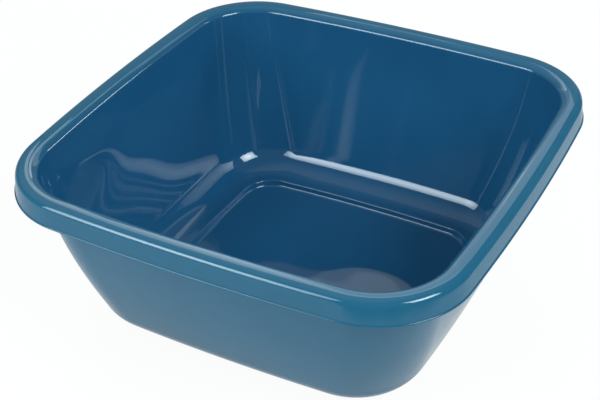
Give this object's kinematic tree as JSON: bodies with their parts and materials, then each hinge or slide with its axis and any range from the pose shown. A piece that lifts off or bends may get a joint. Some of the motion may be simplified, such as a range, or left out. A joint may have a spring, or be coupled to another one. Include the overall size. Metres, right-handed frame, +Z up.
{
  "type": "washing-up basin",
  "caption": "Square moulded plastic basin with rounded corners, bowed sides, a rolled rim with a deep skirt and a sunk floor.",
  "frame": {"origin": "middle of the flat base that the basin stands on", "axes": "+Z up out of the bowl, +X and +Y towards the middles of two neighbouring sides"},
  "size_m": [0.38, 0.38, 0.1533],
  "materials": {
    "basin": "glossy moulded polypropylene, petrol blue, coloured through"
  },
  "bodies": {
    "root": {"basin": "basin"}
  },
  "joints": []
}
